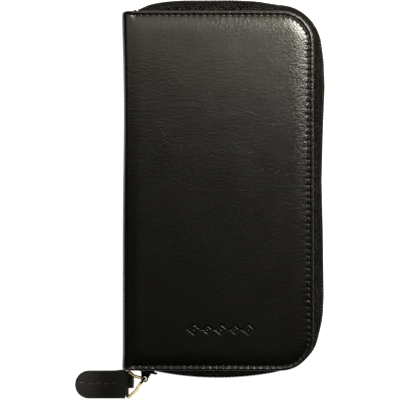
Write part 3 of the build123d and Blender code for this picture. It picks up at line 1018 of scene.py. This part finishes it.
def tab_points():
    route = tab_route()
    u = lengths(route)
    sides = [tab_side(p.x) for p in route]
    # outline in the strip's own flat coordinates, to measure distances to its edge
    outline = np.array([(ui, side[k]) for k in (0, 1) for ui, side in zip(u, sides)])
    columns = np.concatenate([[0, 0.008, 0.02, 0.04, 0.07, 0.11], np.linspace(0.16, 0.84, 18),
                              [0.89, 0.93, 0.96, 0.98, 0.992, 1]])
    points = []
    for side in (1, -1):
        for i, p in enumerate(route):
            tangent = path_frame(route, i)
            lo, hi = sides[i]
            for c in columns:
                y = lo + (hi - lo) * c
                d = float(np.min(np.hypot(outline[:, 0] - u[i], outline[:, 1] - y)))
                d = min(d, y - lo, hi - y) if hi > lo else 0.0
                h = PLY / 2 * edge_round(d, 0.62) + 0.10 * smoothstep(d / 4) - 0.12 * hump(d - 1.25, 0.3)
                points.append((p.x + tangent.y * h * side, y, p.y - tangent.x * h * side))
    return points, sheet_faces(len(route), len(columns))


stand_in(merge(piece("pull_tab_leather", *tab_points(), "pull_leather"), 0.002), "tab", "pull_tab")

TAB_STITCHES = (-67.0, -62.4, -58.3, -54.6, -50.6)
spots = []
for k, x in enumerate(TAB_STITCHES):
    wander = (-1) ** k
    spots.append(((x, TAB_MID + 0.5 + 0.25 * wander, PLY * 2 + 0.16), (1, 0.10 * wander, 0), UP, 3.0))
stitches("pull_tab_seam", "tab", spots, 0.36)


# ---- inside: linings, panels, welts -------------------------------------------------------------------
welt_low, welt_high = box_mm("back_welt")
panel_low, panel_high = box_mm("pen_panel")
WELT_Z = welt_low.z
PANEL_R = CORNER - (EDGE_X - panel_high.x)


def zip_side(low, high, radius):
    """Left and right limit at y of a panel with two rounded corners on the zip side."""
    def limits(y):
        reach = abs(y - (low.y + high.y) / 2) - ((high.y - low.y) / 2 - radius)
        back = radius - math.sqrt(max(radius ** 2 - reach ** 2, 0.0)) if reach > 0 else 0.0
        return low.x, high.x - back
    return limits


END_SHARES = (0, 0.004, 0.012, 0.03)


def spaced(count):
    """Shares of a length, closer together at both ends."""
    far_end = [1 - e for e in reversed(END_SHARES)]
    return np.concatenate([END_SHARES, np.linspace(0.06, 0.94, count), far_end])


def soft_plate(limits, low, high, relief, count=(30, 50), top_edge=None, round_r=0.5):
    """Thin panel of cloth or leather with rounded edges between two corners' y and z.

    limits(y) gives its left and right edge and top_edge(x) its upper edge; relief(x, y, d) lifts its
    upper face."""
    columns, rows = spaced(count[0]), spaced(count[1])
    m, n = len(columns), len(rows)
    flat = np.zeros((n, m, 2))
    for r, share in enumerate(rows):
        left, right = limits(low.y + (high.y - low.y) * share)
        for c in range(m):
            x = left + (right - left) * columns[c]
            top = top_edge(x) if top_edge else high.y
            flat[r, c] = x, low.y + (top - low.y) * share
    rim = np.concatenate([flat[:, 0], flat[:, -1], flat[0], flat[-1]])
    rim = np.concatenate([rim[:-1], (rim[:-1] + rim[1:]) / 2])
    half = (high.z - low.z) / 2
    points = []
    for side in (1, -1):
        for x, y in flat.reshape(-1, 2):
            d = float(np.min(np.hypot(rim[:, 0] - x, rim[:, 1] - y)))
            h = half + (relief(x, y, d) if side == 1 else 0.0)
            points.append((x, y, low.z + half + h * edge_round(d, round_r) * side))
    return points, sheet_faces(n, m)


def plate_piece(name, nodes, body, material, points, faces, turned=False, fill=None, flat=None, rests=()):
    obj = merge(piece(name, points, faces, material, turned), 0.001)
    stand_in(obj, body, *nodes)


def ruffle(x, y, d):
    """Cloth glued over a board: hardly any waviness, fading out at its edges."""
    return 0.10 * noise.noise(Vector((x / 17, y / 17, 1.0))) * min(d / 4, 1.0)


lining_low, lining_high = box_mm("back_lining")
LINING_FLAT = ((lining_high.x - lining_low.x) * MM, (lining_high.y - lining_low.y) * MM)
lining = soft_plate(zip_side(lining_low, lining_high, CORNER - 6.5), lining_low, lining_high, ruffle,
                    round_r=0.3)
for half in ("back", "front"):
    plate_piece(half + "_lining_cloth", [half + "_lining"], half + "_half", "suede", *lining,
                turned=half == "front", flat=LINING_FLAT, rests=[half + "_cover_board"])

panel = soft_plate(zip_side(panel_low, panel_high, PANEL_R), panel_low, panel_high, ruffle)
plate_piece("pen_panel_suede", ["pen_panel"], "back_half", "suede", *panel, fill=0.9)

SEAM_AT = 0.2                           # the seam's place across the welt
# the welt's upper face, as (share of its width, height)
WELT_SHAPE = [(0, 0.0), (0, 0.6), (0.03, 0.88), (0.09, 1.0), (0.15, 0.98), (SEAM_AT, 0.80), (0.25, 0.98),
              (0.38, 1.05), (0.6, 1.05), (0.75, 1.0), (0.85, 1.0), (0.93, 0.95), (0.98, 0.8), (1, 0.5),
              (1, 0.0)]
THREAD_LENGTH = 2.3                     # what shows of one stitch of the inner seams


def welt_points():
    """Facing strip round the inside of a cover, with a sewn groove, and the line of its seam."""
    counts = (96, 24, 184)
    outer, _ = edge_path(EDGE_X - welt_high.x, welt_low.x, counts)
    inner, _ = edge_path(EDGE_X - panel_high.x - 0.4, panel_low.x - 0.4, counts)
    spine_side = 150                    # points along the side next to the spine
    outer, inner = [np.concatenate([e, np.linspace(e[-1], e[0], spine_side + 2)[1:-1]])
                    for e in (outer, inner)]
    run = lengths(outer)
    points = []
    for i, (a, b) in enumerate(zip(outer, inner)):
        for t, h in WELT_SHAPE:
            dent = 0.15 * stitch_hole(run[i]) if 0.15 < t < 0.26 else 0.0
            points.append((*(a + (b - a) * t), WELT_Z + h - dent))
    m = len(WELT_SHAPE)
    faces = grid_faces(len(outer), m, wrap=True)
    for i in range(len(outer)):
        n = (i + 1) % len(outer)
        faces.append((i * m, n * m, n * m + m - 1, i * m + m - 1))
    return points, faces, outer + (inner - outer) * SEAM_AT


points, faces, seam_line = welt_points()
seam_run = lengths(seam_line)
spots = []
for k in range(int(seam_run[-1] / STITCH)):
    (x, y), (dx, dy) = along(seam_line, seam_run, (k + 0.5) * STITCH)
    spots.append(((x, y, WELT_Z + 0.92), (dx, dy, 0), UP, THREAD_LENGTH))
for half in ("back", "front"):
    front = half == "front"
    plate_piece(half + "_welt_strip", [half + "_welt"], half + "_half", "inner_leather", points, faces,
                front)
    stitches(half + "_welt_seam", half + "_half", spots, 0.26, turned=front)


# ---- elastic pen loops --------------------------------------------------------------------------------
PEN_PITCH, PEN_BORE, LOOP_SIDE, LOOP_WALL = 18.5, 14.5, 4.5, 1.0
RIBS = 9                                # ribs of the webbing across its width
RIB_DEPTH = 0.09
TACKS = 9                               # stitches across the webbing at each foot
TURN_R = 0.9                            # radius of the webbing's bend at a foot


def loop_route(pens, foot_z):
    """Middle line of one band, over every pen place and down to the panel between them, as (x, z)."""
    route = []
    radius = PEN_BORE / 2 + LOOP_WALL / 2
    base = foot_z + LOOP_WALL / 2
    rise = LOOP_SIDE - TURN_R - LOOP_WALL / 2
    for k, x in enumerate(pens):
        sag = 0.18 * math.sin(2.3 * k + 1.0)
        up = [Vector((-radius - TURN_R + TURN_R * math.sin(a), base + TURN_R - TURN_R * math.cos(a)))
              for a in np.linspace(0, math.pi / 2, 6)]
        up += [Vector((-radius, base + TURN_R + t * rise)) for t in (0.25, 0.5, 0.75)]
        centre_z = foot_z + LOOP_SIDE
        over = [Vector((radius * math.cos(a), centre_z + (radius + sag * math.sin(a)) * math.sin(a)))
                for a in np.linspace(math.pi, 0, 33)]
        down = [Vector((-p.x, p.y)) for p in reversed(up)]
        route += [Vector((x, 0)) + p for p in up + over + down]
    return route


def strip(route, y0, y1, thick, columns, round_r, rib=0.0):
    """Band swept along a route in x and z, from y0 to y1; rib is the depth of the grooves along it."""
    points = []
    for side in (1, -1):
        for i, p in enumerate(route):
            tangent = path_frame(route, i)
            for c in columns:
                y = y0 + (y1 - y0) * c
                edge = 0.25 + 0.75 * edge_round(min(y - y0, y1 - y), round_r)
                h = thick / 2 * edge - rib * (0.5 + 0.5 * math.cos(2 * math.pi * RIBS * c)) ** 2 * edge
                points.append((p.x - tangent.y * h * side, y, p.y + tangent.x * h * side))
    return points, sheet_faces(len(route), len(columns), flip=True)


for level in ("upper", "lower"):
    low, high = box_mm("pen_loops_" + level)
    middle = (low.x + high.x) / 2
    pens = [middle + (k - 1.5) * PEN_PITCH for k in range(4)]
    band = strip(loop_route(pens, low.z), low.y, high.y, LOOP_WALL * 0.82, np.linspace(0, 1, 55), 0.35,
                 RIB_DEPTH)
    obj = merge(piece("pen_loops_%s_elastic" % level, *band, "elastic"), 0.001)
    stand_in(obj, "back_half", "pen_loops_" + level)
    spots = []
    for x in [p - PEN_PITCH / 2 for p in pens] + [pens[-1] + PEN_PITCH / 2]:
        inwards = 0.45 if x < pens[0] else -0.45 if x > pens[-1] else 0.0
        for y in np.linspace(low.y + 1.2, high.y - 1.2, TACKS):
            spots.append(((x + inwards, y, low.z + LOOP_WALL - 0.05), (0.15, 1, 0), UP, 1.9))
    stitches("pen_loops_%s_tacks" % level, "back_half", spots, 0.24)


# ---- flat pockets of the front half -------------------------------------------------------------------
MOUTH_HEM, MOUTH_SEAM = 3.4, 2.4        # the turned edge's width, and its seam's distance from the mouth


def mouth_line(x):
    """Height at which the small pocket's mouth lies: it rises towards the zip side."""
    return -12.0 + 20.0 * (x - panel_low.x) / (panel_high.x - panel_low.x)


for size, slanted in (("large", False), ("small", True)):
    low, high = box_mm("front_pocket_" + size)
    edge_at = mouth_line if slanted else (lambda x, y=high.y: y)
    base = zip_side(Vector((low.x, panel_low.y, 0)), Vector((high.x, panel_high.y, 0)), PANEL_R)

    def turned_edge(x, y, d, edge_at=edge_at):
        """Turned and stitched edge at the pocket's mouth."""
        inside = edge_at(x) - y
        bead = 0.16 * smoothstep((MOUTH_HEM - inside) / 0.6)
        wavy = 0.05 * noise.noise(Vector((x / 14, y / 14, 5.0)))
        return bead - 0.14 * hump(inside - MOUTH_SEAM, 0.3) + wavy

    foot, head = Vector((low.x, low.y, THICK - high.z)), Vector((high.x, high.y, THICK - low.z))
    pocket = soft_plate(base, foot, head, turned_edge, (36, 150), edge_at, 0.4)
    plate_piece("pocket_%s_leather" % size, ["front_pocket_" + size], "front_half", "inner_leather",
                *pocket, turned=True)
    x0, x1 = low.x + 1.5, high.x - 1.5
    slope = (edge_at(x1) - edge_at(x0)) / (x1 - x0)
    spots = []
    for k in range(int((x1 - x0) / STITCH)):
        x = x0 + (k + 0.5) * STITCH
        spots.append(((x, edge_at(x) - MOUTH_SEAM, THICK - low.z + 0.04), (1, slope, 0), UP, THREAD_LENGTH))
    stitches("pocket_%s_seam" % size, "front_half", spots, 0.26, turned=True)


# ---- divider ------------------------------------------------------------------------------------------
def drape(x, y, d):
    return 0.12 * noise.noise(Vector((x / 20, y / 20, 7.0))) * min(d / 5, 1)


flap_low, flap_high = box_mm("divider_flap")
flap = soft_plate(lambda y: (flap_low.x, flap_high.x), flap_low, flap_high, drape)
plate_piece("divider_suede", ["divider_flap"], "divider", "suede", *flap, fill=0.9)
bind_low, bind_high = box_mm("divider_binding")
wrap_z = (bind_low.z + bind_high.z) / 2
half_z = (bind_high.z - bind_low.z) / 2 - 0.2
bend_x = bind_high.x - 0.9
bend_r = 0.7
lower_side = [Vector((x, wrap_z - half_z)) for x in np.linspace(bind_low.x, bend_x, 10)]
bend = [Vector((bend_x + bend_r * math.sin(a), wrap_z - half_z * math.cos(a)))
        for a in np.linspace(0, math.pi, 9)[1:-1]]
upper_side = [Vector((p.x, wrap_z + half_z)) for p in reversed(lower_side)]
binding = strip(lower_side + bend + upper_side, bind_low.y, bind_high.y, 0.36, np.linspace(0, 1, 60), 0.3)
plate_piece("divider_binding_leather", ["divider_binding"], "divider", "inner_leather", *binding)
spots = []
for up, z in ((UP, bind_high.z - 0.02), ((0, 0, -1), bind_low.z + 0.02)):
    for k in range(int((bind_high.y - bind_low.y) / STITCH)):
        y = bind_low.y + (k + 0.5) * STITCH
        spots.append(((bind_low.x + 1.0, y, z), (0, 1, 0), up, THREAD_LENGTH))
stitches("divider_binding_seam", "divider", spots, 0.22)


# ---- lining of the spine, down into both creases ------------------------------------------------------
def smooth_route(controls, steps=6):
    """Curve through the control points."""
    controls = [Vector(c) for c in controls]
    route = []
    for i in range(len(controls) - 1):
        p0, p1 = controls[max(i - 1, 0)], controls[i]
        p2, p3 = controls[i + 1], controls[min(i + 2, len(controls) - 1)]
        for t in np.linspace(0, 1, steps, endpoint=False):
            route.append(0.5 * (2 * p1 + (p2 - p0) * t + (2 * p0 - 5 * p1 + 4 * p2 - p3) * t * t
                                + (3 * p1 - p0 - 3 * p2 + p3) * t ** 3))
    return route + [controls[-1]]


_, hinge_high = box_mm("spine_lining")
x_in = hinge_high.x - 0.25
# from the cover's inside down into the crease, round it and up the spine to its middle, as (x, z)
route = smooth_route([(-38.5, FOOT_Z), (-40.5, FOOT_Z), (-42.2, 3.85), (-43.15, 3.3), (-43.55, 2.1),
                      (-44.3, 1.65), (-45.0, 2.2), (-45.25, 3.3), (-44.9, 4.6), (x_in, 6.0), (x_in, 8.0),
                      (x_in, 11.0), (x_in, MID + 0.01)])
reach = hinge_high.y
hinge = strip(route, -reach, reach, 0.5, spaced(60), 0.3)
FOLD_FROM, FOLD_TO = (-42.6, 0, 2.4), (-45.4, 0, 4.2)    # ends of the lining's fold, in the back half; worked out for each half but not used to bend it
for half, bodies in (("back", ("back_half", "spine")), ("front", ("spine", "front_half"))):
    front = half == "front"
    obj = merge(piece(half + "_hinge_lining", *hinge, "suede", front), 0.001)
    if not front:
        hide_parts("spine_lining")
    ends = [Vector(FOLD_FROM) * MM, Vector(FOLD_TO) * MM]
    if front:
        ends = [Vector((e.x, 0, THICK * MM - e.z)) for e in reversed(ends)]
    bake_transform(obj)


# ---- CAD pieces that keep their shape -----------------------------------------------------------------
for node in ("back_cover_board", "front_cover_board", "spine_board", "back_zip_stops", "front_zip_stops"):
    look = "board" if node.endswith("board") else "gunmetal"
    frame["nodes"][node].material_slots[0].material = MATERIALS[look]


# ---- floor, light and camera --------------------------------------------------------------------------
def studio():
    scene = bpy.context.scene
    floor_material = Nodes("floor")
    tone = floor_material.noise(3.0, 2, 0.5)
    floor_material.set(Base_Color=floor_material.ramp(tone, [(0.2, grey(0.86)), (0.8, grey(0.89))]))
    floor_material.set(Roughness=0.9, Emission_Color=(1, 1, 1, 1), Emission_Strength=FLOOR_GLOW)
    bpy.ops.mesh.primitive_plane_add(size=FLOOR_SIZE, location=(0, 0, FLOOR_Z))
    floor = bpy.context.object
    floor.name = "floor"
    floor.data.materials.append(floor_material.material)
    floor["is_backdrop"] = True

    world = bpy.data.worlds.new("world")
    scene.world = world
    world.use_nodes = True
    world.node_tree.nodes["Background"].inputs["Color"].default_value = (1, 1, 1, 1)
    world.node_tree.nodes["Background"].inputs["Strength"].default_value = WORLD_LIGHT

    for name, place, aim, size, power, colour in LIGHTS:
        data = bpy.data.lights.new(name, "AREA")
        data.shape = "RECTANGLE"
        data.size, data.size_y = size
        data.energy = power
        data.color = colour
        light = bpy.data.objects.new(name, data)
        light.location = place
        light.rotation_euler = (Vector(aim) - Vector(place)).to_track_quat("-Z", "Y").to_euler()
        light.visible_camera = False
        scene.collection.objects.link(light)

    camera_data = bpy.data.cameras.new("camera")
    camera = bpy.data.objects.new("camera", camera_data)
    scene.collection.objects.link(camera)
    scene.camera = camera
    camera_data.sensor_width = SENSOR
    camera_data.lens = SENSOR * (CAMERA_HEIGHT - THICK * MM) / FRAME_WIDTH
    camera_data.clip_end = 20
    camera.location = (FRAME_CENTRE[0], FRAME_CENTRE[1], CAMERA_HEIGHT)
    camera.rotation_euler = (0, 0, 0)
    scene.view_settings.view_transform = "Standard"


SENSOR = 36.0                           # in millimetres
CAMERA_HEIGHT = 3.0
FRAME_WIDTH = 0.1944                    # width of the picture at the front cover, in metres
FRAME_CENTRE = (-0.00875, -0.0045)
FLOOR_GLOW = 1.0
FLOOR_SIZE, FLOOR_Z = 6.0, -0.0004      # in metres, just under the case
WORLD_LIGHT = 0.01
LIGHTS = [
    # name, place, aim, size, power, colour
    ("north_softbox", (0.02, 0.24, 0.22), (0.02, 0.18, 0.0), (0.50, 0.34), 0.68, (1.0, 0.93, 0.71)),
    ("corner_softbox", (0.11, 0.14, 0.34), (0.03, 0.06, 0.0), (0.07, 0.07), 0.40, (1.0, 0.95, 0.82)),
    ("edge_softbox", (0.18, 0.18, 0.32), (0.03, 0.055, 0.0), (0.15, 0.07), 1.3, (1.0, 0.95, 0.86)),
    ("east_softbox", (0.42, 0.10, 0.30), (0.03, 0.0, 0.0), (0.20, 0.40), 0.08, (1.0, 0.95, 0.80)),
    ("high_softbox", (0.0, 0.10, 0.90), (0.0, 0.0, 0.0), (0.5, 0.5), 0.06, (1.0, 0.97, 0.80)),
    ("low_softbox", (-0.26, -0.30, 0.14), (-0.05, -0.09, 0.0), (0.20, 0.12), 0.12, (1.0, 0.98, 0.90)),
]
studio()

low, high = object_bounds()
